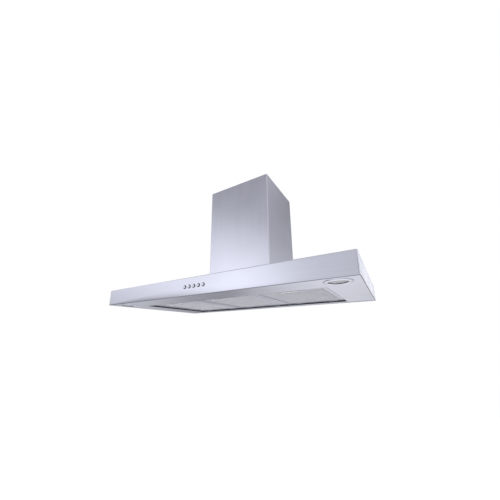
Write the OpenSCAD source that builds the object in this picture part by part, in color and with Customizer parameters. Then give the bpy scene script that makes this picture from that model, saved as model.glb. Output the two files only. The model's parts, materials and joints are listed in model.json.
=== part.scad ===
// Wall range hood: a slim box canopy with three grease filters, two lamps and five push buttons,
// and a telescopic chimney that hides the blower and its duct outlet.
// The wall is the plane y = 0, the front faces -Y, and z = 0 is the lower rim of the canopy.

/* [Canopy] */
// Width of the canopy
body_w = 900; // [870:10:960]
// Depth from the wall to the front fascia
body_d = 475; // [475:5:520]
// Height of the canopy
body_h = 58; // [58:1:80]
// Bare panel on each side of the filters
side_margin = 93; // [88:1:100]
// Bare panel in front of the filters
front_band = 105; // [105:1:120]
// Bare panel behind the filters
rear_band = 38; // [34:1:60]

/* [Chimney] */
// Width of the chimney cover
chimney_w = 280; // [280:2:300]
// Depth of the chimney cover
chimney_d = 250; // [250:2:280]
// Height of the chimney cover's top edge above the lower rim
chimney_top = 510; // [480:5:700]

/* [Filters] */
// Number of grease filters
filter_count = 3; // [3]
// Gap round each filter
filter_gap = 3; // [2.5:0.5:4]
// Thickness of a filter
filter_t = 9; // [9:0.5:10]

/* [Controls] */
// Distance between push buttons
button_pitch = 18.5; // [17:0.5:20]
// Middle of the button row, from the canopy's centre line
button_row_x = -9; // [-20:1:20]
// Height of the button row above the lower rim
button_z = 29; // [27:1:31]
// Diameter of a button cap
button_dia = 9; // [8:0.5:12]

/* [Lamps] */
// Distance from the centre line to a lamp
lamp_x = 397; // [394:1:400]
// Distance from the front fascia to a lamp
lamp_from_front = 45; // [42:1:52]

/* [Blower] */
// Outer radius of the impeller
impeller_r = 72; // [68:1:72]
// Number of impeller blades
blade_count = 36; // [24:1:42]
// Outer radius of the duct outlet
spigot_r = 74.5; // [72:0.5:76]

/* [Hidden] */

$fn = 64;
eps = 1;                      // how far a cutting tool runs past the face it cuts

// Sheet metal
sheet = 1;                    // stainless sheet
corner_r = 3;                 // outer radius of an upright front corner
rim_lip = 8;                  // width of the lip folded in along the lower rim
back_lip = 12;                // width of the back panel's lip
panel_z = sheet;              // underside of the panel that lies on the lips
flange_top = 6;               // top of the flange folded up round the filter opening

// Filter opening in the underside panel
open_w = body_w - 2 * side_margin;
open_front = -body_d + front_band;
open_rear = -rear_band;
seal_t = 1.2;                 // foam strip on the inner faces of the flange
seal_top = 5.4;

// Filters
filter_w = (open_w - (filter_count + 1) * filter_gap) / filter_count;
filter_pitch = filter_w + filter_gap;
filter_front = open_front + filter_gap;
filter_rear = open_rear - filter_gap;
filter_z = flange_top + 0.5;
filter_rail = 13;             // width of the side and rear rails
filter_front_rail = 31;       // width of the front rail, which carries the latch
mesh_lap = 4;                 // how far the mesh runs into the rails
mesh_layer = 0.8;             // thickness of one mesh layer
mesh_layers = 3;
mesh_stack = filter_t - 4;    // height of the groove that holds the mesh layers
hinge_y = open_rear - 1.8;    // the filter turns about the bead on its rear edge
hinge_z = 7.2;
bead_r = 1.6;
tongue_x = 70;                // place of each rear tongue from the filter's middle
tongue_w = 30;
tongue_reach = 9;             // how far a tongue runs over the rear flange
tongue_t = 1.2;

// Filter latch
latch_shift = 12;             // how far each latch sits to the right of its filter's middle
cup_w = 80;
cup_d = 22;
cup_wall = 1.2;
cup_y = filter_front + 14.5;  // middle of the latch cup
cup_top = filter_z + filter_t + 1;
cup_fit = 0.1;
plate_w = 62;                 // sliding plate of the latch
plate_d = 8;
plate_z = 8;
plate_t = 2.5;
plate_front = cup_y - cup_d / 2 + cup_wall + 0.6;
bolt_x = 24;
bolt_w = 8;
bolt_reach = 5;               // how far a bolt runs past the front edge of the opening
bolt_play = 0.5;
post_r = 2.6;
grip_r = 1.6;
grip_z = 1.6;                 // axis of the grip bar, which hangs just below the rim
grip_x = 28;
latch_spring_x = 18;
latch_spring_r = 2.6;

// Push buttons
button_count = 5;
cap_out = 3.5;                // how far a cap stands out of the fascia
cap_in = 6;                   // how far a cap runs in behind the fascia's front face
cap_bevel = 0.8;
stem_r = 2;
stem_end = -body_d + 23;
sleeve_bore = button_dia / 2 + 0.15;
sleeve_r = button_dia / 2 + 0.95;
sleeve_flange_r = button_dia / 2 + 1.6;
sleeve_hole_r = sleeve_r + 0.05;
block_front = -body_d + 9;    // front face of the switch block
block_back = -body_d + 31;
block_w = (button_count - 1) * button_pitch + 30;
block_h = 26;
board_t = 1.6;
board_h = 30;
standoff_r = 2.5;
standoff_x = block_w / 2 - 4;

// Lamps
lamp_y = -body_d + lamp_from_front;
lamp_hole_r = 27.5;
lens_r = 23.8;
lens_t = 2;
lamp_neck_top = 12;
bulb_r = 4.5;

// Chimney
cover_inner = chimney_w / 2 - sheet;
cover_flange = 14;            // width of the cover's rear and foot flanges
upper_gap = 1;                // gap between the cover and the upper chimney
upper_half = cover_inner - upper_gap;
upper_d = chimney_d - sheet - upper_gap;
upper_back = 1.5;             // gap between the upper chimney and the wall
upper_bottom = body_h + 2 * sheet;
upper_top = chimney_top - 10;
bracket_z = upper_top - 30;
bracket_h = 26;
bracket_half = 122;
bracket_t = 1.5;
bracket_hole_x = 80;
bracket_hole_r = 3;
bracket_arm = 38;
screw_r = 2;
foot_screws = [for (s = [-1, 1], y = [-60, -200]) [s * (chimney_w / 2 - 8), y]];

// Blower box
box_half = 118;
box_d = 232;
box_top = 300;
box_sheet = 1;
box_back = 1.5;               // thickness of the plate that hangs on the wall
box_foot = 6;                 // how far the box's foot flange stands out
box_screws = [for (s = [-1, 1]) [s * 80, -box_d - box_foot / 2]];
hang_x = 100;                 // place of each wall hole
hang_z = 270;
hang_r = 4;
top_open_half = 114;          // half width of the opening in the canopy top
top_open_front = -226;
top_open_rear = -8;
loom_hole_r = 6;

// Scroll and impeller: their axis runs along X
fan_y = -140;
fan_z = 156;
scroll_half = 61;
scroll_wall = 1.5;
scroll_start = 120;           // angle of the tongue, from +Y towards +Z
scroll_r0 = impeller_r + 6;
scroll_r1 = 100;
scroll_steps = 48;
inlet_r = 60;
impeller_half = 52;
impeller_bore = 58;
blade_t = 0.8;
hub_r = 12;
shaft_r = 4;

// Motor, inside the left inlet
motor_r = 44;
motor_x0 = -98;
motor_x1 = -22;
bearing_bore = shaft_r + 0.05;
bearing_r = 8;
arm_r = 68;                   // radius on which the bracket's three arms are fixed
arm_w = 12;
arm_x = -(scroll_half + 5);

// Outlet
outlet_y = -112;
spigot_wall = 2;
spigot_h = 50;
spigot_flange_r = 88;
spigot_flange_t = 1.5;
spigot_screws = [for (a = [30:60:330]) [0, outlet_y] + (spigot_flange_r - 6) * [cos(a), sin(a)]];
flap_z = box_top + 26;        // height of both flap axes
flap_offset = 5;              // distance of each flap axis from the middle of the outlet
flap_barrel_r = 2;
flap_pin_r = 1.25;
flap_bore_r = 1.3;
flap_r = spigot_r - spigot_wall - 1.5;
flap_t = 1.2;
lip_w = 3;

// Electrical parts on top of the blower box
term_x = 62;
term_y = -228;
term_w = 48;
term_d = 40;
term_h = 34;
term_wall = 2;
lid_t = 2;
gland_x = term_x + term_w / 2;
gland_y = term_y + term_d / 2;
gland_z = box_top + term_h + lid_t;
gland_bore = 3.8;
gland_h = 22;
loom_r = 3;
lead_r = 1.5;

// Routes of the inner wiring
loom_route = [
    [32, -442, 40], [32, -434, 40], [40, -402, 45], [62, -362, 49], [92, -312, 51], [107, -270, 51],
    [108.5, -240, 51], [108.5, -224, 52.5], [108.5, -215, 62], [108.5, -212, 80], [108.5, -212, 180],
    [108.5, -212, 235], [106, -211, 260], [94, -209, 278], [gland_x, gland_y, 291],
    [gland_x, gland_y, 308]
];
// Route of a lamp lead, up to the switch block's side at x = end_x
function lead_route(end_x) = [
    [lamp_x - 11, lamp_y, 47], [lamp_x - 22, lamp_y - 3, 48], [lamp_x - 60, lamp_y - 18, 49],
    [320, -452, 49], [220, -454, 49], [120, -454, 48], [80, -456, 42], [end_x, -458, 34]
];

// ---------- helpers ----------

function unit(v) = v / norm(v);
function along(p, i) = p[min(max(i, 0), len(p) - 1)];
function spline(p, i, t) =
    let (a = along(p, i - 1), b = along(p, i), c = along(p, i + 1), d = along(p, i + 2))
    0.5 * (2 * b + (c - a) * t + (2 * a - 5 * b + 4 * c - d) * t * t + (3 * b - a - 3 * c + d) * t * t * t);
function smooth(p, n) = concat(
    [for (i = [0:len(p) - 2], k = [0:n - 1]) spline(p, i, k / n)],
    [p[len(p) - 1]]
);
function tangent(p, i) = unit(along(p, i + 1) - along(p, i - 1));
function ring(p, i, r, sides, ref) =
    let (t = tangent(p, i), u = unit(cross(t, ref)), v = cross(t, u))
    [for (k = [0:sides - 1]) p[i] + r * (cos(360 * k / sides) * u + sin(360 * k / sides) * v)];

// A round cable along a route. ref is a direction that the route never takes.
module cable(route, r, ref, sides = 8, steps = 2) {
    p = smooth(route, steps);
    n = len(p);
    points = [for (i = [0:n - 1]) each ring(p, i, r, sides, ref)];
    walls = [for (i = [0:n - 2], k = [0:sides - 1])
        let (a = i * sides, b = a + sides, m = (k + 1) % sides)
        [a + k, a + m, b + m, b + k]];
    start = [for (k = [sides - 1:-1:0]) k];
    end = [for (k = [0:sides - 1]) (n - 1) * sides + k];
    polyhedron(points, concat([start], walls, [end]));
}

// A box between two opposite corners, in either order
module block(a, b) {
    translate([for (i = [0:2]) min(a[i], b[i])]) cube([for (i = [0:2]) abs(b[i] - a[i])]);
}

// Rectangle from y = -d to y = 0 with its two front corners rounded
module front_outline(w, d, r) {
    translate([-w / 2, r - d]) square([w, d - r]);
    translate([r - w / 2, -d]) square([w - 2 * r, 2 * r]);
    for (s = [-1, 1]) translate([s * (w / 2 - r), r - d]) circle(r);
}

// A cylinder along Y from y0 up to y1
module y_rod(x, z, r, y0, y1) {
    translate([x, y0, z]) rotate([-90, 0, 0]) cylinder(r = r, h = y1 - y0);
}

// A cylinder along X between xa and xb, in either order
module x_rod(y, z, r, xa, xb) {
    translate([min(xa, xb), y, z]) rotate([0, 90, 0]) cylinder(r = r, h = abs(xb - xa));
}

// A cylinder along Z from z0 up to z1
module z_rod(x, y, r, z0, z1) {
    translate([x, y, z0]) cylinder(r = r, h = z1 - z0);
}

// A pan-head screw whose head hangs below z, with its shank going up
module screw_up(x, y, z, head_r, head_h, shank) {
    z_rod(x, y, head_r, z - head_h, z);
    z_rod(x, y, screw_r, z, z + shank);
}

function button_x(i) = button_row_x + (i - (button_count + 1) / 2) * button_pitch;
function filter_x(i) = (i - 1) * filter_pitch;
function latch_x(i) = filter_x(i) + latch_shift;

// ---------- canopy ----------

module canopy_shell() color("gainsboro") difference() {
    union() {
        difference() {
            translate([0, -sheet, 0]) linear_extrude(body_h)
                front_outline(body_w, body_d - sheet, corner_r);
            translate([0, 0, -eps]) linear_extrude(body_h - sheet + eps)
                front_outline(body_w - 2 * sheet, body_d - sheet, corner_r - sheet);
        }
        rim();
    }
    block([-top_open_half, top_open_front, body_h - 2 * sheet],
          [top_open_half, top_open_rear, body_h + eps]);
    for (i = [1:button_count])
        y_rod(button_x(i), button_z, sleeve_hole_r, -body_d - eps, 2 * sheet - body_d);
    screw_holes(concat(foot_screws, box_screws), body_h - 2 * sheet, body_h + eps);
}

// Lip folded in along the front and sides of the lower rim
module rim() linear_extrude(sheet) difference() {
    translate([0, -sheet]) front_outline(body_w, body_d - sheet, corner_r);
    translate([rim_lip + sheet - body_w / 2, rim_lip + sheet - body_d])
        square([body_w - 2 * (rim_lip + sheet), body_d]);
}

module screw_holes(places, z0, z1) {
    for (p = places) z_rod(p[0], p[1], screw_r + 0.2, z0, z1);
}

module back_panel() color("silver") {
    block([-body_w / 2, -sheet, 0], [body_w / 2, 0, body_h]);
    lip_half = body_w / 2 - rim_lip - 2 * sheet;
    block([-lip_half, -back_lip, 0], [lip_half, -sheet, sheet]);
}

module underside_panel() color("lightsteelblue") difference() {
    union() {
        translate([0, -sheet - 0.5, panel_z]) linear_extrude(sheet)
            front_outline(body_w - 2 * sheet - 1, body_d - 2 * sheet - 1, corner_r - sheet + 0.5);
        block([-open_w / 2 - sheet, open_front - sheet, panel_z],
              [open_w / 2 + sheet, open_rear + sheet, flange_top]);
    }
    block([-open_w / 2, open_front, panel_z - eps], [open_w / 2, open_rear, flange_top + eps]);
    for (s = [-1, 1]) z_rod(s * lamp_x, lamp_y, lamp_hole_r, panel_z - eps, panel_z + sheet + eps);
}

module filter_seal() color("black") difference() {
    block([-open_w / 2, open_front, panel_z], [open_w / 2, open_rear, seal_top]);
    block([-open_w / 2 + seal_t, open_front + seal_t, panel_z - eps],
          [open_w / 2 - seal_t, open_rear - seal_t, seal_top + eps]);
}

// ---------- filters ----------

module filter_frame(x) color("darkgray") {
    difference() {
        block([x - filter_w / 2, filter_front, filter_z],
              [x + filter_w / 2, filter_rear, filter_z + filter_t]);
        block([x - filter_w / 2 + filter_rail, filter_front + filter_front_rail, filter_z - eps],
              [x + filter_w / 2 - filter_rail, filter_rear - filter_rail, filter_z + filter_t + eps]);
        mesh_space(x, (filter_t - mesh_stack) / 2, mesh_stack);
        block([x + latch_shift - cup_w / 2, cup_y - cup_d / 2, filter_z - eps],
              [x + latch_shift + cup_w / 2, cup_y + cup_d / 2, cup_top + eps]);
        bolt_slots(x + latch_shift, filter_front - eps, cup_y);
    }
    for (s = [-1, 1]) {
        block([x + s * tongue_x - tongue_w / 2, filter_rear - 0.5, hinge_z - 0.8],
              [x + s * tongue_x + tongue_w / 2, hinge_y + tongue_reach, hinge_z - 0.8 + tongue_t]);
        x_rod(hinge_y, hinge_z, bead_r, x + s * tongue_x - tongue_w / 2, x + s * tongue_x + tongue_w / 2);
    }
}

// The window and the groove round it, from height dz above the filter's underside
module mesh_space(x, dz, h) {
    half = filter_w / 2 - filter_rail + mesh_lap;
    block([x - half, filter_front + filter_front_rail - mesh_lap, filter_z + dz],
          [x + half, filter_rear - filter_rail + mesh_lap, filter_z + dz + h]);
}

module filter_mesh(x) color("lightgray") {
    step = (mesh_stack - mesh_layer) / (mesh_layers - 1);
    for (i = [0:mesh_layers - 1]) mesh_space(x, (filter_t - mesh_stack) / 2 + i * step, mesh_layer);
}

module bolt_slots(x, y0, y1) {
    for (s = [-1, 1])
        block([x + s * bolt_x - bolt_w / 2 - bolt_play, y0, plate_z - bolt_play],
              [x + s * bolt_x + bolt_w / 2 + bolt_play, y1, plate_z + plate_t + bolt_play]);
}

module latch_cup(x) color("dimgray") difference() {
    union() {
        block([x - cup_w / 2 + cup_fit, cup_y - cup_d / 2 + cup_fit, filter_z - sheet],
              [x + cup_w / 2 - cup_fit, cup_y + cup_d / 2 - cup_fit, cup_top]);
        block([x - cup_w / 2 - 2, cup_y - cup_d / 2 - 2, filter_z - sheet],
              [x + cup_w / 2 + 2, cup_y + cup_d / 2 + 2, filter_z]);
    }
    block([x - cup_w / 2 + cup_wall, cup_y - cup_d / 2 + cup_wall, filter_z - 2 * sheet],
          [x + cup_w / 2 - cup_wall, cup_y + cup_d / 2 - cup_wall, cup_top - cup_wall]);
    bolt_slots(x, filter_front - eps, cup_y);
}

module latch_handle(x) color("whitesmoke") {
    block([x - plate_w / 2, plate_front, plate_z],
          [x + plate_w / 2, plate_front + plate_d, plate_z + plate_t]);
    for (s = [-1, 1]) {
        block([x + s * bolt_x - bolt_w / 2, open_front - bolt_reach, plate_z],
              [x + s * bolt_x + bolt_w / 2, plate_front + eps, plate_z + plate_t]);
        z_rod(x + s * grip_x, plate_front + plate_d / 2, post_r, grip_z, plate_z + eps);
        translate([x + s * grip_x, plate_front + plate_d / 2, grip_z]) sphere(post_r);
    }
    x_rod(plate_front + plate_d / 2, grip_z, grip_r, x - grip_x, x + grip_x);
}

module latch_springs(x) color("silver") for (s = [-1, 1]) difference() {
    z = plate_z + plate_t / 2;
    cup_rear = cup_y + cup_d / 2;
    y_rod(x + s * latch_spring_x, z, latch_spring_r, plate_front + plate_d, cup_rear - cup_wall);
    y_rod(x + s * latch_spring_x, z, latch_spring_r - 0.7, plate_front, cup_rear);
}

// ---------- lamps ----------

module lamp_bezel(s) color("whitesmoke") translate([s * lamp_x, lamp_y, 0]) rotate_extrude() polygon([
    [33, panel_z], [33, 0.2], [32, -0.9], [30, -1.7], [27.5, -2.1], [25, -1.9], [23, -1], [22.5, -0.4],
    [22.5, 0], [24, 0], [24, lamp_neck_top], [27, lamp_neck_top], [27, panel_z]
]);

module lamp_lens(s) color("aliceblue", 0.6) z_rod(s * lamp_x, lamp_y, lens_r, 0, lens_t);

module lamp_housing(s) color("silver") translate([s * lamp_x, lamp_y, 0]) rotate_extrude() polygon([
    [24.2, lamp_neck_top], [26.8, lamp_neck_top], [26, 18], [22.5, 28], [17, 36], [11, 40], [11, 52],
    [0, 52], [0, 44], [6, 44], [6, 39], [10, 38], [15.5, 34.5], [20.8, 27], [23.6, 18]
]);

module lamp_bulb(s) color("white") {
    z_rod(s * lamp_x, lamp_y, bulb_r, 20, 36);
    translate([s * lamp_x, lamp_y, 20]) sphere(bulb_r);
    z_rod(s * lamp_x, lamp_y, 5.8, 36, 44);
}

// ---------- controls ----------

module button(i) color("white") {
    face = -body_d - cap_out;
    translate([button_x(i), face, button_z]) rotate([-90, 0, 0]) rotate_extrude() polygon([
        [0, 0], [button_dia / 2 - 2 * cap_bevel, 0], [button_dia / 2 - 0.6 * cap_bevel, 0.25 * cap_bevel],
        [button_dia / 2, cap_bevel], [button_dia / 2, cap_out + cap_in], [0, cap_out + cap_in]
    ]);
    y_rod(button_x(i), button_z, stem_r, -body_d + cap_in - eps, stem_end);
}

module button_sleeves() color("black") for (i = [1:button_count])
    translate([button_x(i), -body_d, button_z]) rotate([-90, 0, 0]) rotate_extrude() polygon([
        [sleeve_bore, -0.8], [sleeve_flange_r - 0.4, -0.8], [sleeve_flange_r, -0.4], [sleeve_flange_r, 0],
        [sleeve_r, 0], [sleeve_r, 5], [sleeve_bore, 5]
    ]);

module switch_block() color("ivory") difference() {
    union() {
        block([button_row_x - block_w / 2, block_front, button_z - block_h / 2],
              [button_row_x + block_w / 2, block_back, button_z + block_h / 2]);
        for (s = [-1, 1])
            y_rod(button_row_x + s * standoff_x, button_z, standoff_r, sheet - body_d, block_front + eps);
    }
    for (i = [1:button_count])
        y_rod(button_x(i), button_z, stem_r + 0.2, block_front - eps, stem_end + 4);
}

module switch_board() color("darkgreen")
    block([button_row_x - block_w / 2 - 3, block_back, button_z - board_h / 2],
          [button_row_x + block_w / 2 + 3, block_back + board_t, button_z + board_h / 2]);

module switch_screws() color("silver") for (s = [-1, 1])
    y_rod(button_row_x + s * standoff_x, button_z, 3, block_back + board_t, block_back + board_t + 2);

// ---------- chimney ----------

// A U of sheet that is open towards the wall: half width, depth, wall gap, heights and corner radius
module u_wall(half, d, gap, z0, z1, r) translate([0, -gap, z0]) linear_extrude(z1 - z0) difference() {
    front_outline(2 * half, d - gap, r);
    translate([0, eps]) front_outline(2 * (half - sheet), d - gap - sheet + eps, max(r - sheet, 0.5));
}

module chimney_cover() color("gainsboro") difference() {
    union() {
        u_wall(chimney_w / 2, chimney_d, 0, body_h, chimney_top, 2);
        for (s = [-1, 1]) {
            block([s * cover_inner, -sheet, body_h], [s * (cover_inner - cover_flange), 0, chimney_top]);
            block([s * cover_inner, 2 * sheet - chimney_d, body_h],
                  [s * (cover_inner - cover_flange), 0, body_h + sheet]);
        }
    }
    screw_holes(foot_screws, body_h - eps, body_h + 2 * sheet);
}

module upper_chimney() color("lightgray") {
    u_wall(upper_half, upper_d, upper_back, upper_bottom, upper_top, 1.5);
    for (s = [-1, 1])
        block([s * (upper_half - sheet), -upper_back - sheet, upper_bottom],
              [s * (upper_half - cover_flange), -upper_back, upper_top]);
}

module chimney_bracket() color("silver") difference() {
    step_y = -upper_back - sheet;
    inner = upper_half - sheet;
    top = bracket_z + bracket_h;
    union() {
        block([-bracket_half, -bracket_t, bracket_z], [bracket_half, 0, top]);
        for (s = [-1, 1]) {
            block([s * (bracket_half - bracket_t), step_y - bracket_t, bracket_z],
                  [s * bracket_half, 0, top]);
            block([s * (bracket_half - bracket_t), step_y - bracket_t, bracket_z],
                  [s * inner, step_y, top]);
            block([s * (inner - bracket_t), -bracket_arm, bracket_z], [s * inner, step_y, top]);
        }
    }
    for (s = [-1, 1])
        y_rod(s * bracket_hole_x, bracket_z + bracket_h / 2, bracket_hole_r, -2 * bracket_t, eps);
}

module bracket_screws() color("silver") for (s = [-1, 1]) {
    head_x = upper_half - sheet - bracket_t;
    x_rod(10 - bracket_arm, bracket_z + bracket_h / 2, 3.5, s * head_x, s * (head_x - 2));
}

module canopy_screws() color("silver") for (p = concat(foot_screws, box_screws))
    screw_up(p[0], p[1], body_h - sheet, 4, 2.4, 3.4);

// ---------- blower ----------

module blower_box() color("silver") difference() {
    union() {
        block([-box_half, -box_d, body_h], [box_half, 0, box_top]);
        block([-box_half - box_foot, -box_d - box_foot, body_h],
              [box_half + box_foot, 0, body_h + sheet]);
    }
    block([-box_half + box_sheet, -box_d + box_sheet, body_h - eps],
          [box_half - box_sheet, -box_back, box_top - box_sheet]);
    z_rod(0, outlet_y, flap_r, box_top - 2 * box_sheet, box_top + eps);
    z_rod(gland_x, gland_y, loom_hole_r, box_top - 2 * box_sheet, box_top + eps);
    for (s = [-1, 1]) y_rod(s * hang_x, hang_z, hang_r, -3 * box_back, eps);
    screw_holes(spigot_screws, box_top - 2 * box_sheet, box_top + eps);
    screw_holes(box_screws, body_h - eps, body_h + 2 * sheet);
}

function scroll_radius(a, extra) =
    scroll_r0 + extra + (a - scroll_start) / (360 - scroll_start) * (scroll_r1 - scroll_r0);
// Spiral from the tongue round to the rear wall, then straight up to the outlet at height top.
// extra grows it by the wall.
function scroll_outline(extra, top) = concat(
    [for (i = [0:scroll_steps])
        let (a = scroll_start + i * (360 - scroll_start) / scroll_steps, r = scroll_radius(a, extra))
        [fan_y + r * cos(a), fan_z + r * sin(a)]],
    [[fan_y + scroll_r1 + extra, top],
     [fan_y + scroll_radius(scroll_start, extra) * cos(scroll_start), top]]
);

// An outline in the YZ plane, extruded along X between xa and xb
module side_view(xa, xb, points) {
    translate([min(xa, xb), 0, 0]) rotate([90, 0, 90]) linear_extrude(abs(xb - xa)) polygon(points);
}

module scroll_half(s) color("slategray") difference() {
    side_view(0, s * scroll_half, scroll_outline(scroll_wall, box_top - box_sheet));
    side_view(-eps * s, s * (scroll_half - scroll_wall), scroll_outline(0, box_top));
    x_rod(fan_y, fan_z, inlet_r, s * (scroll_half - 3), s * (scroll_half + eps));
}

module impeller() color("lightgray") {
    difference() {
        x_rod(fan_y, fan_z, impeller_r, -0.75, 0.75);
        x_rod(fan_y, fan_z, shaft_r, -eps, eps);
    }
    difference() {
        x_rod(fan_y, fan_z, hub_r, -12, 12);
        x_rod(fan_y, fan_z, shaft_r, -13, 13);
    }
    for (s = [-1, 1]) difference() {
        x_rod(fan_y, fan_z, impeller_r, s * impeller_half, s * (impeller_half - 2));
        x_rod(fan_y, fan_z, impeller_bore, -impeller_half - eps, impeller_half + eps);
    }
    for (i = [0:blade_count - 1]) translate([0, fan_y, fan_z]) rotate([i * 360 / blade_count, 0, 0])
        translate([-impeller_half, impeller_bore + 1, 0]) rotate([25, 0, 0])
            cube([2 * impeller_half, impeller_r - impeller_bore - 3, blade_t]);
}

module motor_shaft() color("darkgray") x_rod(fan_y, fan_z, shaft_r, motor_x0 - 8, 16);

module motor_body() color("gray") difference() {
    union() {
        x_rod(fan_y, fan_z, motor_r, motor_x0 + 6, motor_x1 - 6);
        x_rod(fan_y, fan_z, motor_r - 12, motor_x0, motor_x1);
    }
    x_rod(fan_y, fan_z, bearing_r, motor_x0 - eps, motor_x1 + eps);
}

module motor_bearings() color("goldenrod") for (x = [motor_x0, motor_x1 - 10]) difference() {
    x_rod(fan_y, fan_z, bearing_r, x, x + 10);
    x_rod(fan_y, fan_z, bearing_bore, x - eps, x + 11);
}

arm_angles = [90, 210, 330];

module motor_bracket() color("silver") {
    difference() {
        x_rod(fan_y, fan_z, motor_r + 2, arm_x - 10, arm_x);
        x_rod(fan_y, fan_z, motor_r, arm_x - 11, arm_x + eps);
    }
    for (a = arm_angles) translate([0, fan_y, fan_z]) rotate([a, 0, 0])
        difference() {
            block([arm_x - 2, motor_r + 1, -arm_w / 2], [arm_x, arm_r + 8, arm_w / 2]);
            x_rod(arm_r, 0, 3.5, arm_x - 3, arm_x + eps);
        }
}

module motor_bushes() color("black") for (a = arm_angles) translate([0, fan_y, fan_z]) rotate([a, 0, 0]) {
    x_rod(arm_r, 0, 6, arm_x, -scroll_half);
    x_rod(arm_r, 0, 3.5, arm_x - 2, arm_x);
    x_rod(arm_r, 0, 5.5, arm_x - 4, arm_x - 2);
}

module capacitor() color("white") {
    z_rod(-90, -205, 15, box_top, box_top + 48);
    z_rod(-90, -205, 4, box_top + 48, box_top + 54);
}

// ---------- outlet ----------

module outlet_spigot() color("dimgray") {
    difference() {
        union() {
            z_rod(0, outlet_y, spigot_flange_r, box_top, box_top + spigot_flange_t);
            z_rod(0, outlet_y, spigot_r, box_top, box_top + spigot_h);
        }
        z_rod(0, outlet_y, spigot_r - spigot_wall - lip_w, box_top - eps, box_top + spigot_h + eps);
        z_rod(0, outlet_y, spigot_r - spigot_wall, flap_z - flap_barrel_r, box_top + spigot_h + eps);
        z_rod(0, outlet_y, spigot_r - spigot_wall, box_top - eps, flap_z - flap_barrel_r - 2);
        for (s = [-1, 1])
            x_rod(outlet_y + s * flap_offset, flap_z, flap_bore_r, -spigot_r - eps, spigot_r + eps);
        screw_holes(spigot_screws, box_top - eps, box_top + 2 * spigot_flange_t);
    }
    block([1 - spigot_r, outlet_y - 1.5, flap_z - flap_barrel_r - 2],
          [spigot_r - 1, outlet_y + 1.5, flap_z + flap_barrel_r]);
}

// One half of the backdraught damper; s is 1 for the rear flap and -1 for the front one
module flap(s) color("lightgray") {
    translate([0, outlet_y, flap_z - 1.5]) linear_extrude(flap_t) intersection() {
        circle(flap_r);
        translate([-flap_r, s > 0 ? flap_offset : -flap_r - flap_offset]) square([2 * flap_r, flap_r]);
    }
    x_rod(outlet_y + s * flap_offset, flap_z, flap_barrel_r, -65, 65);
    x_rod(outlet_y + s * flap_offset, flap_z, flap_pin_r, -spigot_r + 0.6, spigot_r - 0.6);
}

// ---------- wiring ----------

module terminal_box() color("dimgray") difference() {
    block([term_x, term_y, box_top], [term_x + term_w, term_y + term_d, box_top + term_h]);
    block([term_x + term_wall, term_y + term_wall, box_top + term_wall],
          [term_x + term_w - term_wall, term_y + term_d - term_wall, box_top + term_h + eps]);
    z_rod(gland_x, gland_y, loom_hole_r, box_top - eps, box_top + 2 * term_wall);
}

module terminal_lid() color("gray") difference() {
    block([term_x, term_y, box_top + term_h],
          [term_x + term_w, term_y + term_d, box_top + term_h + lid_t]);
    z_rod(gland_x, gland_y, gland_bore + 1.2, box_top + term_h - eps, gland_z + eps);
}

module cable_gland() color("black") translate([gland_x, gland_y, gland_z]) difference() {
    union() {
        cylinder(r = 9, h = 5, $fn = 6);
        cylinder(r = 7, h = gland_h - 4);
        translate([0, 0, gland_h - 12]) cylinder(r = 8.2, h = 12);
    }
    translate([0, 0, -eps]) cylinder(r = gland_bore, h = gland_h + 2 * eps);
}

module wiring_loom() color("black") cable(loom_route, loom_r, [1, 0, 0.35]);

module lamp_leads() color("white") {
    cable(lead_route(block_w / 2 + button_row_x), lead_r, [0, 0.2, 1]);
    mirror([1, 0, 0]) cable(lead_route(block_w / 2 - button_row_x), lead_r, [0, 0.2, 1]);
}

module blower_screws() color("silver") for (p = spigot_screws) {
    z_rod(p[0], p[1], 4, box_top + spigot_flange_t, box_top + spigot_flange_t + 2.4);
    z_rod(p[0], p[1], screw_r, box_top - 6, box_top + spigot_flange_t);
}

// ---------- nodes ----------

canopy_shell();
back_panel();
underside_panel();
filter_seal();
filter_frame(filter_x(0));  // filter_frame_left
filter_frame(filter_x(1));  // filter_frame_centre
filter_frame(filter_x(2));  // filter_frame_right
filter_mesh(filter_x(0));  // filter_mesh_left
filter_mesh(filter_x(1));  // filter_mesh_centre
filter_mesh(filter_x(2));  // filter_mesh_right
latch_cup(latch_x(0));  // latch_cup_left
latch_cup(latch_x(1));  // latch_cup_centre
latch_cup(latch_x(2));  // latch_cup_right
latch_handle(latch_x(0));  // latch_handle_left
latch_handle(latch_x(1));  // latch_handle_centre
latch_handle(latch_x(2));  // latch_handle_right
latch_springs(latch_x(0));  // latch_springs_left
latch_springs(latch_x(1));  // latch_springs_centre
latch_springs(latch_x(2));  // latch_springs_right
lamp_bezel(-1);  // lamp_bezel_left
lamp_bezel(1);  // lamp_bezel_right
lamp_lens(-1);  // lamp_lens_left
lamp_lens(1);  // lamp_lens_right
lamp_housing(-1);  // lamp_housing_left
lamp_housing(1);  // lamp_housing_right
lamp_bulb(-1);  // lamp_bulb_left
lamp_bulb(1);  // lamp_bulb_right
button(1);  // button_1
button(2);  // button_2
button(3);  // button_3
button(4);  // button_4
button(5);  // button_5
button_sleeves();
switch_block();
switch_board();
switch_screws();
chimney_cover();
upper_chimney();
chimney_bracket();
bracket_screws();
canopy_screws();
blower_box();
scroll_half(-1);  // scroll_left
scroll_half(1);  // scroll_right
impeller();
motor_shaft();
motor_body();
motor_bearings();
motor_bracket();
motor_bushes();
capacitor();
outlet_spigot();
flap(-1);  // flap_front
flap(1);  // flap_rear
terminal_box();
terminal_lid();
cable_gland();
wiring_loom();
lamp_leads();
blower_screws();
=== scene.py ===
import json
import math

import bpy
from mathutils import Matrix, Vector

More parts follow.
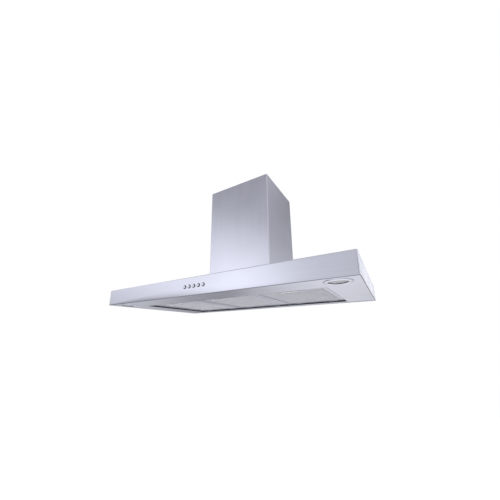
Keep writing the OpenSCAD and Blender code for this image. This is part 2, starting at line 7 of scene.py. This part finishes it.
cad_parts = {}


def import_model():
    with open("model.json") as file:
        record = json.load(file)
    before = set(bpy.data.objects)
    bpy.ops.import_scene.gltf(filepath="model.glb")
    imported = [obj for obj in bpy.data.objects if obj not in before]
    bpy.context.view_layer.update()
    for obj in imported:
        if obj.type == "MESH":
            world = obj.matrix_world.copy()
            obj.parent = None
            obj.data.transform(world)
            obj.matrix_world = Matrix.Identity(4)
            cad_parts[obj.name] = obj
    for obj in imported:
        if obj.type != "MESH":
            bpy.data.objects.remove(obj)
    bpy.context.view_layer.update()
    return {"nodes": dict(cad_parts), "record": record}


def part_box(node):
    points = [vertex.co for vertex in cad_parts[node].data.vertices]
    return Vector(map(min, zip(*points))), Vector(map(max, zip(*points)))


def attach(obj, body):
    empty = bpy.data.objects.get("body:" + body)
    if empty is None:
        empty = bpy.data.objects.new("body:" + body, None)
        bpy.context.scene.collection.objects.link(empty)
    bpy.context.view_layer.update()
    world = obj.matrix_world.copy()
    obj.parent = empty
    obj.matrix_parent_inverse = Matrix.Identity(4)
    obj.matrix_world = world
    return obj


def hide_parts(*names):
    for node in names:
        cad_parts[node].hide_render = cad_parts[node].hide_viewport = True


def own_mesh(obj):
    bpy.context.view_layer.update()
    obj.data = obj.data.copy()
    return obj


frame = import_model()

# Wall range hood. Everything is in metres, in the CAD frame: the wall is the plane y = 0, the front
# faces -Y, and z = 0 is the canopy's lower rim.
MM = 0.001
NODES = frame["nodes"]
SLOTS = {part["node"]: part["material_slot"] for part in frame["record"]["subparts"]}
MATERIALS = {}
FILTERS = ("left", "centre", "right")
ENDS = ("left", "right")


# ---------- shader helpers ----------

def new_material(name):
    """Adds a material to MATERIALS, and gives its node tree and its Principled shader."""
    mat = bpy.data.materials.new(name)
    mat.use_nodes = True
    tree = mat.node_tree
    tree.nodes.clear()
    shader = tree.nodes.new("ShaderNodeBsdfPrincipled")
    output = tree.nodes.new("ShaderNodeOutputMaterial")
    tree.links.new(shader.outputs["BSDF"], output.inputs["Surface"])
    MATERIALS[name] = mat
    return tree, shader


def feed(tree, node, inputs):
    """Gives a node its inputs, by name or number, as values or as other nodes' outputs."""
    for key, value in inputs.items():
        if isinstance(value, bpy.types.NodeSocket):
            tree.links.new(value, node.inputs[key])
        else:
            node.inputs[key].default_value = value


def add(tree, kind, inputs=None, **settings):
    """A new node with these settings and inputs."""
    made = tree.nodes.new(kind)
    for key, value in settings.items():
        setattr(made, key, value)
    feed(tree, made, inputs or {})
    return made


def math_node(tree, operation, a, b=0.0):
    return add(tree, "ShaderNodeMath", {0: a, 1: b}, operation=operation).outputs[0]


def vector_node(tree, operation, a, b, output=0):
    return add(tree, "ShaderNodeVectorMath", {0: a, 1: b}, operation=operation).outputs[output]


def noise(tree, vector, scale, detail, stretch=(1, 1, 1)):
    """Noise over the object's own coordinates. stretch multiplies each axis before scale does."""
    mapped = add(tree, "ShaderNodeMapping", {"Vector": vector, "Scale": stretch}).outputs[0]
    made = add(tree, "ShaderNodeTexNoise", {"Vector": mapped, "Scale": scale, "Detail": detail})
    return made.outputs["Fac"]


def ramp(tree, value, low, high, start=0.3, stop=0.7, **settings):
    """A number that goes from low to high as value goes from start to stop."""
    made = add(tree, "ShaderNodeMapRange", {
        "Value": value, "From Min": start, "From Max": stop, "To Min": low, "To Max": high}, **settings)
    return made.outputs[0]


def tint(tree, value, color, spread, start=0.3, stop=0.7):
    """color made darker and lighter by spread as value goes from start to stop."""
    dark = [c * (1 - spread) for c in color] + [1]
    light = [min(1, c * (1 + spread)) for c in color] + [1]
    factor = ramp(tree, value, 0, 1, start, stop)
    made = add(tree, "ShaderNodeMix", {"Factor": factor, "A": dark, "B": light}, data_type="RGBA")
    return made.outputs["Result"]


def bumped(tree, height, strength):
    """The surface's normal, tilted by fine relief."""
    made = add(tree, "ShaderNodeBump", {"Height": height, "Strength": strength, "Distance": 0.1 * MM})
    return made.outputs[0]


def brushing(tree, where, flat, grain, scale):
    """Long thin lines, which run along X on flat faces and as grain says on upright ones."""
    thin, long = 1300, 5
    upright = (long, long, thin) if grain == "width" else (thin, thin, long)
    on_walls = noise(tree, where, scale, 3, upright)
    on_flats = noise(tree, where, scale, 3, (long, thin, long))
    mixed = add(tree, "ShaderNodeMix", {"Factor": flat, "A": on_walls, "B": on_flats}, data_type="FLOAT")
    return mixed.outputs["Result"]


def paint_fold_shade(tree, color, up, amount):
    """color made darker by amount, as painted shade, where the surface slants down at 45 degrees, and less on
    either side.
    """
    down = math_node(tree, "MINIMUM", up, 0.0)
    level = math_node(tree, "MULTIPLY", down, down)
    slant = math_node(tree, "MULTIPLY", level, math_node(tree, "SUBTRACT", 1.0, level))
    shade = ramp(tree, slant, 1.0, 1.0 - amount, 0.0, 0.25)
    painted_shade_grey = add(tree, "ShaderNodeCombineXYZ", {0: shade, 1: shade, 2: shade}).outputs[0]
    mixed = add(tree, "ShaderNodeMix", {"Factor": 1.0, "A": color, "B": painted_shade_grey},
                data_type="RGBA", blend_type="MULTIPLY")
    return mixed.outputs["Result"]


# ---------- kinds of finish ----------

def brushed(name, color, rough, grain, depth=1.0, painted_fold_shade=0.0, hollow=None):
    """Brushed sheet metal. grain is "width" for lines along the sheet's horizontal run, or "height".
    The fold shade is painted shade and painted dark reflection on the round fold at the lower edge of an
    upright face.
    hollow is a point in the middle of a duct: the faces turned towards it keep the mill's duller finish."""
    inner_dullness = 0.28
    tree, shader = new_material(name)
    where = add(tree, "ShaderNodeTexCoord").outputs["Object"]
    normal = add(tree, "ShaderNodeNewGeometry").outputs["True Normal"]
    up = add(tree, "ShaderNodeSeparateXYZ", {0: normal}).outputs["Z"]
    flat = math_node(tree, "GREATER_THAN", math_node(tree, "ABSOLUTE", up), 0.5)
    fine = brushing(tree, where, flat, grain, 1.0)
    streaks = brushing(tree, where, flat, grain, 0.16)
    both = math_node(tree, "ADD", math_node(tree, "MULTIPLY", streaks, 0.25),
                     math_node(tree, "MULTIPLY", fine, 0.75))
    base = tint(tree, both, color, 0.04)
    # painted shade on the folds that turn down
    if painted_fold_shade:
        base = paint_fold_shade(tree, base, up, painted_fold_shade)
    smudge = ramp(tree, noise(tree, where, 7.0, 2), -0.02, 0.03)
    dullness = math_node(tree, "ADD", ramp(tree, both, rough - 0.03, rough + 0.04), smudge)
    if hollow:
        outward = vector_node(tree, "SUBTRACT", where, hollow)
        facing = vector_node(tree, "DOT_PRODUCT", normal, outward, "Value")
        inside = math_node(tree, "LESS_THAN", facing, 0.0)
        dullness = math_node(tree, "ADD", dullness, math_node(tree, "MULTIPLY", inside, inner_dullness))
    axis = (0, -0.05, 1) if grain == "width" else (1, 1, 0.05)
    feed(tree, shader, {
        "Metallic": 1.0, "Base Color": base, "Roughness": dullness, "Anisotropic": 0.55,
        "Tangent": vector_node(tree, "CROSS_PRODUCT", normal, axis),
        "Normal": bumped(tree, fine, 0.12 * depth)})


def plain(name, color, rough, metallic=0.0, scale=400, bump=0.1, spread=0.06, stretch=(1, 1, 1), extra=None):
    """A moulded, cast, plated or painted finish: a fine grain of this scale in the bump, and a slow variation
    in gloss, and in colour by spread. extra gives more of the shader's inputs."""
    tree, shader = new_material(name)
    where = add(tree, "ShaderNodeTexCoord").outputs["Object"]
    grain = noise(tree, where, scale, 4, stretch)
    slow = noise(tree, where, scale / 30, 3)
    uneven = ramp(tree, slow, rough * 0.85, rough * 1.1)
    dullness = math_node(tree, "ADD", uneven, ramp(tree, grain, -0.03, 0.03))
    feed(tree, shader, {
        "Metallic": metallic, "Base Color": tint(tree, slow, color, spread), "Roughness": dullness,
        "Normal": bumped(tree, grain, bump)} | (extra or {}))


def galvanised(name, color):
    """Zinc-coated sheet with its crystal pattern."""
    tree, shader = new_material(name)
    where = add(tree, "ShaderNodeTexCoord").outputs["Object"]
    crystals = add(tree, "ShaderNodeTexVoronoi", {"Vector": where, "Scale": 110.0, "Randomness": 1.0})
    shade = add(tree, "ShaderNodeSeparateColor", {0: crystals.outputs["Color"]}).outputs[0]
    feed(tree, shader, {
        "Metallic": 0.9, "Base Color": tint(tree, shade, color, 0.10, 0, 1),
        "Roughness": ramp(tree, shade, 0.34, 0.5, 0, 1),
        "Normal": bumped(tree, noise(tree, where, 260, 4), 0.06)})


# ---------- materials ----------

CHIMNEY_LOW, CHIMNEY_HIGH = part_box("chimney_cover")

brushed("canopy_steel", (0.74, 0.755, 0.86), 0.22, "width", painted_fold_shade=0.7)
brushed("underside_steel", (0.72, 0.735, 0.84), 0.24, "width")
brushed("chimney_steel", (0.74, 0.75, 0.86), 0.22, "height", hollow=(CHIMNEY_LOW + CHIMNEY_HIGH) / 2)
galvanised("galvanised", (0.60, 0.62, 0.65))
brushed("filter_frame", (0.70, 0.71, 0.78), 0.38, "width", depth=0.7)
plain("filter_mesh", (0.94, 0.94, 0.97), 0.40, metallic=0.2, scale=900, spread=0.02)
# The seal strip along the filters' rear edge is black rubber; its darkness also stands in for the shade in
# the gap behind the filters.
plain("seal", (0.022, 0.022, 0.026), 0.75, scale=1400, bump=0.5, spread=0.15)
plain("latch_cup", (0.50, 0.51, 0.54), 0.40, scale=700, bump=0.15)
plain("latch_handle", (0.97, 0.97, 0.98), 0.26, metallic=0.7, scale=300, bump=0.03, spread=0.01)
plain("spring", (0.62, 0.62, 0.64), 0.25, metallic=1.0, scale=900, bump=0.05)
plain("lamp_bezel", (0.66, 0.67, 0.74), 0.14, metallic=1.0, scale=200, bump=0.02, spread=0.03)
plain("lamp_reflector", (0.84, 0.85, 0.87), 0.22, metallic=1.0, scale=500, bump=0.05, spread=0.03)
plain("button", (0.70, 0.71, 0.78), 0.28, metallic=1.0, scale=500, bump=0.05, spread=0.03)
plain("black_plastic", (0.018, 0.018, 0.02), 0.42, scale=900, bump=0.2)
plain("ivory_plastic", (0.72, 0.69, 0.60), 0.42, scale=600, bump=0.12)
plain("circuit_board", (0.02, 0.13, 0.05), 0.25, scale=260, bump=0.25, spread=0.2)
plain("screw", (0.66, 0.66, 0.68), 0.24, metallic=1.0, scale=700, bump=0.08)
plain("impeller", (0.64, 0.65, 0.67), 0.34, metallic=1.0, scale=300, bump=0.08)
plain("shaft", (0.58, 0.58, 0.60), 0.18, metallic=1.0, scale=900, bump=0.05, spread=0.04, stretch=(8, 1, 1))
plain("motor", (0.09, 0.10, 0.12), 0.34, metallic=0.4, scale=500, bump=0.12)
plain("bearing", (0.58, 0.42, 0.20), 0.34, metallic=1.0, scale=1200, bump=0.12)
plain("bush", (0.02, 0.02, 0.02), 0.72, scale=900, bump=0.2)
plain("capacitor", (0.78, 0.78, 0.76), 0.22, scale=300, bump=0.04, spread=0.03, extra={"Coat Weight": 0.3})
plain("duct_plastic", (0.045, 0.045, 0.052), 0.40, scale=700, bump=0.15)
plain("flap_plastic", (0.42, 0.43, 0.45), 0.42, scale=700, bump=0.12)
plain("wire", (0.80, 0.80, 0.77), 0.32, scale=500, bump=0.06, spread=0.03)
plain("lamp_lens", (0.93, 0.95, 0.98), 0.07, scale=90, bump=0.35, spread=0.01,
      extra={"Transmission Weight": 1.0, "IOR": 1.5})
plain("lamp_bulb", (0.97, 0.96, 0.93), 0.12, scale=200, bump=0.02, spread=0.02,
      extra={"Transmission Weight": 0.6, "IOR": 1.45})


def paint(obj, material):
    obj.data.materials.clear()
    obj.data.materials.append(MATERIALS[material])


for name, obj in NODES.items():
    paint(obj, "underside_steel" if name == "underside_panel" else SLOTS[name])


# ---------- rounded edges of the CAD nodes ----------

def sharp_edges(mesh):
    """Numbers of the edges at which two faces meet at more than 30 degrees. The CAD mesh is split along its
    edges, so the two sides of an edge are found by their place."""
    grid, limit = 0.001 * MM, math.radians(30)

    def place(vertices):
        return tuple(sorted(tuple(round(c / grid) for c in mesh.vertices[i].co) for i in vertices))

    meeting = {}
    for face in mesh.polygons:
        for pair in face.edge_keys:
            meeting.setdefault(place(pair), []).append(face.normal.copy())
    found = set()
    for edge in mesh.edges:
        normals = meeting.get(place(edge.vertices), [])
        if any(normals[0].angle(n, 0) > limit for n in normals[1:]):
            found.add(edge.index)
    return found


def ends(obj, edge):
    return [obj.matrix_world @ obj.data.vertices[i].co for i in edge.vertices]


def round_edges(obj, rounded, sharp, width, segments):
    """Modifiers that join the CAD mesh, merge the triangles of each flat face, and round the rounded edges.
    The other sharp edges stay crisp."""
    mesh = obj.data
    mesh.attributes.new("bevel_weight_edge", "FLOAT", "EDGE")
    if "sharp_edge" not in mesh.attributes:
        mesh.attributes.new("sharp_edge", "BOOLEAN", "EDGE")
    crisp = sharp - rounded
    numbers = range(len(mesh.edges))
    mesh.attributes["bevel_weight_edge"].data.foreach_set("value", [float(i in rounded) for i in numbers])
    mesh.attributes["sharp_edge"].data.foreach_set("value", [i in crisp for i in numbers])
    weld = obj.modifiers.new("weld", "WELD")
    weld.merge_threshold = 0.002 * MM
    flat = obj.modifiers.new("flat", "DECIMATE")
    flat.decimate_type = "DISSOLVE"
    flat.angle_limit = math.radians(0.2)
    bevel = obj.modifiers.new("bevel", "BEVEL")
    bevel.width = width
    bevel.segments = segments
    bevel.limit_method = "WEIGHT"
    bevel.harden_normals = True


def fold(name, on_fold, width):
    """Rounds the folds of a CAD node's sheet: each edge whose two ends pass the test on_fold."""
    obj = NODES[name]
    folds = {edge.index for edge in obj.data.edges if on_fold(*ends(obj, edge))}
    round_edges(obj, folds, sharp_edges(obj.data), width, segments=4)


def soften(names, width):
    """Rounds the long sharp edges of CAD nodes, as pressed and moulded parts have. The rims of small holes,
    whose edges are short, stay crisp."""
    shortest = 2.5 * MM
    for name in names:
        obj = NODES[name]
        sharp = sharp_edges(obj.data)
        corners = {i: ends(obj, obj.data.edges[i]) for i in sharp}
        long = {i for i, (a, b) in corners.items() if (a - b).length > shortest}
        round_edges(obj, long, sharp, width, segments=2)


CANOPY_LOW, CANOPY_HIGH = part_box("canopy_shell")


def on_canopy_fold(a, b):
    """Whether the edge from a to b is an outer one where the canopy's fascia and ends fold into the rim's lip
    or into the top. At a corner, the short edges of its curve count too."""
    near, reach, short = 0.05 * MM, 3.1 * MM, 0.5 * MM
    rim = all(p.z < CANOPY_LOW.z + near for p in (a, b))
    top = all(p.z > CANOPY_HIGH.z - near for p in (a, b))
    front = all(p.y < CANOPY_LOW.y + near for p in (a, b))
    end = abs(a.x + b.x) > 2 * (CANOPY_HIGH.x - near)
    corner = all(p.y < CANOPY_LOW.y + reach and abs(p.x) > CANOPY_HIGH.x - reach for p in (a, b))
    return (rim or top) and (front or end or (corner and (a - b).length < short))


fold("canopy_shell", on_canopy_fold, 2.4 * MM)
soften(["chimney_cover", "upper_chimney", "underside_panel", "back_panel"], 0.35 * MM)
soften([f"filter_frame_{side}" for side in FILTERS], 0.7 * MM)
soften([f"latch_cup_{side}" for side in FILTERS], 0.35 * MM)
soften([f"latch_handle_{side}" for side in FILTERS], 0.5 * MM)
soften(["switch_block", "switch_board", "terminal_box", "terminal_lid", "cable_gland"], 0.4 * MM)
soften(["blower_box", "chimney_bracket"], 0.3 * MM)


# ---------- mesh helpers ----------

def mesh_object(name, verts, faces, material, smooth=False):
    mesh = bpy.data.meshes.new(name)
    mesh.from_pydata(verts, [], faces)
    mesh.update()
    if smooth:
        mesh.polygons.foreach_set("use_smooth", [True] * len(mesh.polygons))
    obj = bpy.data.objects.new(name, mesh)
    bpy.context.scene.collection.objects.link(obj)
    paint(obj, material)
    return obj


def spline(points, steps):
    """A smooth curve through the points, with this many steps between two of them."""
    out = []
    last = len(points) - 1
    for i in range(last):
        a, b, c, d = (points[min(max(i + k, 0), last)] for k in (-1, 0, 1, 2))
        for k in range(steps):
            t = k / steps
            out.append(0.5 * (2 * b + (c - a) * t + (2 * a - 5 * b + 4 * c - d) * t * t
                              + (3 * b - a - 3 * c + d) * t ** 3))
    out.append(points[-1])
    return out


def evenly(path, step):
    """The same path with its points step apart."""
    out, left = [path[0].copy()], step
    for a, b in zip(path, path[1:]):
        span = (b - a).length
        while span > left:
            a = a + (b - a) * (left / span)
            out.append(a.copy())
            span -= left
            left = step
        left -= span
    out.append(path[-1].copy())
    return out


def heading(path, i):
    """The direction of the path at its point i."""
    return (path[min(i + 1, len(path) - 1)] - path[max(i - 1, 0)]).normalized()


def tube(name, path, radius, material, sides=12):
    """A round wire along path, closed at both ends. radius is a number, or a function of a point's number."""
    verts, faces = [], []
    normal = Vector((0, 0, 1))
    for i, p in enumerate(path):
        ahead = heading(path, i)
        normal = normal - ahead * normal.dot(ahead)
        if normal.length < 1e-4:
            normal = ahead.orthogonal()
        normal.normalize()
        side = ahead.cross(normal)
        r = radius(i) if callable(radius) else radius
        for k in range(sides):
            a = 2 * math.pi * k / sides
            verts.append(p + r * (math.cos(a) * normal + math.sin(a) * side))
    for i in range(len(path) - 1):
        for k in range(sides):
            n = (k + 1) % sides
            faces.append((i * sides + k, i * sides + n, (i + 1) * sides + n, (i + 1) * sides + k))
    faces.append(tuple(reversed(range(sides))))
    faces.append(tuple((len(path) - 1) * sides + k for k in range(sides)))
    return mesh_object(name, verts, faces, material, smooth=True)


def ring(name, middle, radius, wire, material, around=72, sides=10):
    """A closed ring of round wire, flat in X and Y. wire is the wire's own radius."""
    verts, faces = [], []
    for i in range(around):
        a = 2 * math.pi * i / around
        for k in range(sides):
            b = 2 * math.pi * k / sides
            r = radius + wire * math.cos(b)
            verts.append((
                middle.x + r * math.cos(a), middle.y + r * math.sin(a), middle.z + wire * math.sin(b)))
    for i in range(around):
        j = (i + 1) % around
        for k in range(sides):
            n = (k + 1) % sides
            faces.append((i * sides + k, j * sides + k, j * sides + n, i * sides + n))
    return mesh_object(name, verts, faces, material, smooth=True)


# ---------- filters ----------

def expanded_mesh(width, depth, long_way, short_way, strand, thick, turned):
    """Vertices and faces of a sheet of expanded metal, centred on the origin: rows of zigzag strands that
    meet at their bonds. long_way and short_way are the diamond's sizes. turned runs the rows along Y."""
    verts, faces = [], []
    rows = int(depth / (short_way / 2))
    count = int(width / (long_way / 2)) + 1
    swing = short_way / 4 - strand * 0.2
    lean = 0.35 * thick
    section = ((-strand / 2, -lean - thick / 2), (strand / 2, lean - thick / 2),
               (strand / 2, lean + thick / 2), (-strand / 2, -lean + thick / 2))
    for j in range(rows):
        base = len(verts)
        mid = -depth / 2 + short_way / 4 + j * short_way / 2
        for i in range(count):
            x = -width / 2 + i * long_way / 2
            flip = 1 if (i + j) % 2 else -1
            y = mid + flip * swing
            for dy, dz in section:
                verts.append((y + dy, x, dz) if turned else (x, y + dy, dz))
        for i in range(count - 1):
            a = base + 4 * i
            for k in range(4):
                n = (k + 1) % 4
                quad = (a + k, a + n, a + 4 + n, a + 4 + k)
                faces.append(quad if turned else quad[::-1])
        caps = [tuple(base + k for k in range(4)), tuple(base + 4 * (count - 1) + k for k in (3, 2, 1, 0))]
        faces.extend(cap[::-1] if turned else cap for cap in caps)
    return verts, faces


def filter_layers():
    """The three layers of mesh in each filter: coarse outside, fine and crosswise inside."""
    sheet, inset = 0.4 * MM, 0.7 * MM
    for side in FILTERS:
        low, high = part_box(f"filter_mesh_{side}")
        middle = (low + high) / 2
        width, depth, _ = high - low
        for name, z, turned, long_way, short_way, strand in (
                ("lower", low.z + inset, False, 9.0, 4.6, 0.75),
                ("inner", middle.z, True, 6.0, 3.6, 1.1),
                ("upper", high.z - inset, False, 9.0, 4.6, 1.3)):
            across, along = (depth, width) if turned else (width, depth)
            verts, faces = expanded_mesh(
                across, along, long_way * MM, short_way * MM, strand * MM, sheet, turned)
            obj = mesh_object(f"mesh_{name}_{side}", verts, faces, "filter_mesh")
            obj.location = (middle.x, middle.y, z)
            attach(obj, f"filter_{side}")
        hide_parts(f"filter_mesh_{side}")


def latch_springs():
    """Two coil springs behind each latch handle."""
    turns, steps, wire, clear = 7, 14, 0.32 * MM, 0.1 * MM
    count = turns * steps
    for side in FILTERS:
        low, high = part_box(f"latch_springs_{side}")
        length = high.y - low.y
        radius = (high.z - low.z) / 2 - wire
        axis_z = (high.z + low.z) / 2
        for end, x in zip(ENDS, (low.x + radius + wire, high.x - radius - wire)):
            path = []
            for i in range(count + 1):
                a = 2 * math.pi * i / steps
                y = low.y + wire + (length - 2 * wire) * i / count
                path.append(Vector((x + radius * math.cos(a), y, axis_z + radius * math.sin(a))))
            obj = tube(f"latch_spring_{side}_{end}", path, wire, "spring", 8)
            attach(obj, f"filter_{side}")
            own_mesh(obj)
        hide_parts(f"latch_springs_{side}")


filter_layers()
latch_springs()


# ---------- lamps ----------

def seal_and_gap_shade_rings():
    """A thin dark rubber cord round each lamp's glass, in the corner of its plated ring. Its darkness is also
    painted shade of the gap between glass and ring, and stands in for the ring's dark reflections.
    """
    wire, inset = 0.5 * MM, 1.8 * MM
    for end in ENDS:
        low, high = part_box(f"lamp_lens_{end}")
        middle = Vector(((low.x + high.x) / 2, (low.y + high.y) / 2, low.z - wire * 0.8))
        obj = ring(f"lamp_seal_and_gap_shade_{end}", middle, (high.x - low.x) / 2 - inset, wire, "bush")
        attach(obj, "hood")


seal_and_gap_shade_rings()


# ---------- wiring ----------

# The routes are in millimetres. The left lead mirrors the right one, up to its own end at the switch block.
LOOM_ROUTE = (
    (32, -442, 40), (32, -434, 40), (40, -402, 45), (62, -362, 49), (92, -312, 51), (107, -270, 51),
    (108.5, -240, 51), (108.5, -224, 52.5), (108.5, -215, 62), (108.5, -212, 80), (108.5, -212, 180),
    (108.5, -212, 235), (106, -211, 260), (94, -209, 278), (86, -208, 291), (86, -208, 308))
LEAD_ROUTE = (
    (386, -430, 47), (375, -433, 48), (337, -448, 49), (320, -452, 49), (220, -454, 49), (120, -454, 48),
    (80, -456, 42))
LEAD_ENDS = {"left": (-61, -458, 34), "right": (43, -458, 34)}


def loom():
    """A corrugated sleeve round the loom."""
    ridges = (2.95 * MM, 2.75 * MM, 2.5 * MM, 2.75 * MM)
    route = evenly(spline([Vector(p) * MM for p in LOOM_ROUTE], 8), 0.9 * MM)
    sleeve = tube("loom_sleeve", route, lambda i: ridges[i % len(ridges)], "black_plastic")
    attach(sleeve, "hood")
    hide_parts("wiring_loom")


def lamp_leads():
    """A twisted pair of wires to each lamp."""
    wire, lay, points_in_turn = 0.7 * MM, 0.72 * MM, 9
    for end, side in zip(ENDS, (-1, 1)):
        points = [(side * x, y, z) for x, y, z in LEAD_ROUTE] + [LEAD_ENDS[end]]
        route = evenly(spline([Vector(p) * MM for p in points], 8), 2.5 * MM)
        for number in (0, 1):
            path = []
            for i, p in enumerate(route):
                ahead = heading(route, i)
                across = ahead.cross(Vector((0, 0, 1))).normalized()
                a = 2 * math.pi * i / points_in_turn + math.pi * number
                path.append(p + lay * (math.cos(a) * across + math.sin(a) * ahead.cross(across)))
            lead = tube(f"lamp_wire_{end}_{number + 1}", path, wire, "wire", 8)
            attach(lead, "hood")
    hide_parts("lamp_leads")


loom()
lamp_leads()


# ---------- floor, light and camera ----------

def floor():
    """A round pale floor under the hood. Reflections and bounced light leave it out."""
    radius, height, sides = 2.6, -0.85, 96
    verts, faces = [(0, 0, 0)], []
    for k in range(sides):
        a = 2 * math.pi * k / sides
        verts.append((radius * math.cos(a), radius * math.sin(a), 0))
        faces.append((0, 1 + k, 1 + (k + 1) % sides))
    tree, shader = new_material("floor")
    feed(tree, shader, {
        "Base Color": (0.92, 0.92, 0.93, 1), "Roughness": 0.7,
        "Emission Color": (1, 1, 1, 1), "Emission Strength": 0.7})
    obj = mesh_object("floor", verts, faces, "floor")
    obj.location = (0, -0.25, height)
    obj.visible_glossy = False
    obj.visible_diffuse = False


# Azimuth from the front towards the left, elevation, inner and outer angle, all in degrees, and strength.
# Apart from the patch at elevation -75 and the strength at azimuth -88, which were set one by one, a
# least-squares fit of the steel's tones gave these, and the two levels of the base light in world().
SOFT_PATCHES = (
    (38, 9, 2, 22, 0.65),
    (66, 19, 2, 22, 0.83),
    (43, 40, 2, 30, -0.34),
    (173, 15, 2, 22, 1.87),
    (189, 29, 2, 22, -0.45),
    (166, -9, 2, 45, -0.52),
    (170, -31, 2, 34, 0.91),
    (-88, 6, 2, 35, 0.5),
    (-30, -75, 5, 50, 0.45),
    (-21, 11, 2, 22, -0.6),
    (70, 5, 2, 36, -0.6))


def soft_patch(tree, ray, azimuth, elevation, inner, outer, strength):
    """A round spread of light: full within the inner angle from its middle, and none past the outer one."""
    turn, rise, full, none = (math.radians(angle) for angle in (azimuth, elevation, inner, outer))
    aim = (-math.sin(turn) * math.cos(rise), -math.cos(turn) * math.cos(rise), math.sin(rise))
    near = vector_node(tree, "DOT_PRODUCT", ray, aim, "Value")
    return ramp(tree, near, 0.0, strength, math.cos(none), math.cos(full), interpolation_type="SMOOTHSTEP")


def world():
    """White behind the object, and a soft studio round it: a little brighter above than below, with patches
    that add or take away light."""
    made = bpy.data.worlds.new("studio")
    bpy.context.scene.world = made
    made.use_nodes = True
    tree = made.node_tree
    tree.nodes.clear()
    ray = add(tree, "ShaderNodeTexCoord").outputs["Generated"]
    up = add(tree, "ShaderNodeSeparateXYZ", {0: ray}).outputs["Z"]
    total = ramp(tree, up, 0.64, 0.70, -0.25, 0.05, interpolation_type="SMOOTHSTEP")
    for patch in SOFT_PATCHES:
        total = math_node(tree, "ADD", total, soft_patch(tree, ray, *patch))
    seen = add(tree, "ShaderNodeLightPath").outputs["Is Camera Ray"]
    glow = add(tree, "ShaderNodeBackground", {"Color": (0.965, 0.97, 1.0, 1), "Strength": total})
    white = add(tree, "ShaderNodeBackground", {"Color": (1, 1, 1, 1), "Strength": 1.0})
    mixed = add(tree, "ShaderNodeMixShader", {0: seen, 1: glow.outputs[0], 2: white.outputs[0]})
    add(tree, "ShaderNodeOutputWorld", {"Surface": mixed.outputs[0]})


def camera():
    """Low in front and to the right, close to the hood, looking up and to the left."""
    place = Vector((0.4911, -0.9922, -0.1132))
    yaw, pitch, roll = math.radians(30.33), math.radians(15.15), math.radians(-0.687)
    forward = Vector((-math.sin(yaw) * math.cos(pitch), math.cos(yaw) * math.cos(pitch), math.sin(pitch)))
    right = Vector((math.cos(yaw), math.sin(yaw), 0))
    up = right.cross(forward)
    right, up = math.cos(roll) * right + math.sin(roll) * up, math.cos(roll) * up - math.sin(roll) * right
    data = bpy.data.cameras.new("camera")
    data.lens = 17.0
    data.sensor_width = 36.0
    data.shift_y = 0.04
    data.clip_start = 0.01
    obj = bpy.data.objects.new("camera", data)
    obj.matrix_world = Matrix((
        (right.x, up.x, -forward.x, place.x), (right.y, up.y, -forward.y, place.y),
        (right.z, up.z, -forward.z, place.z), (0, 0, 0, 1)))
    bpy.context.scene.collection.objects.link(obj)
    bpy.context.scene.camera = obj


floor()
world()
camera()
bpy.context.scene.view_settings.view_transform = "Standard"
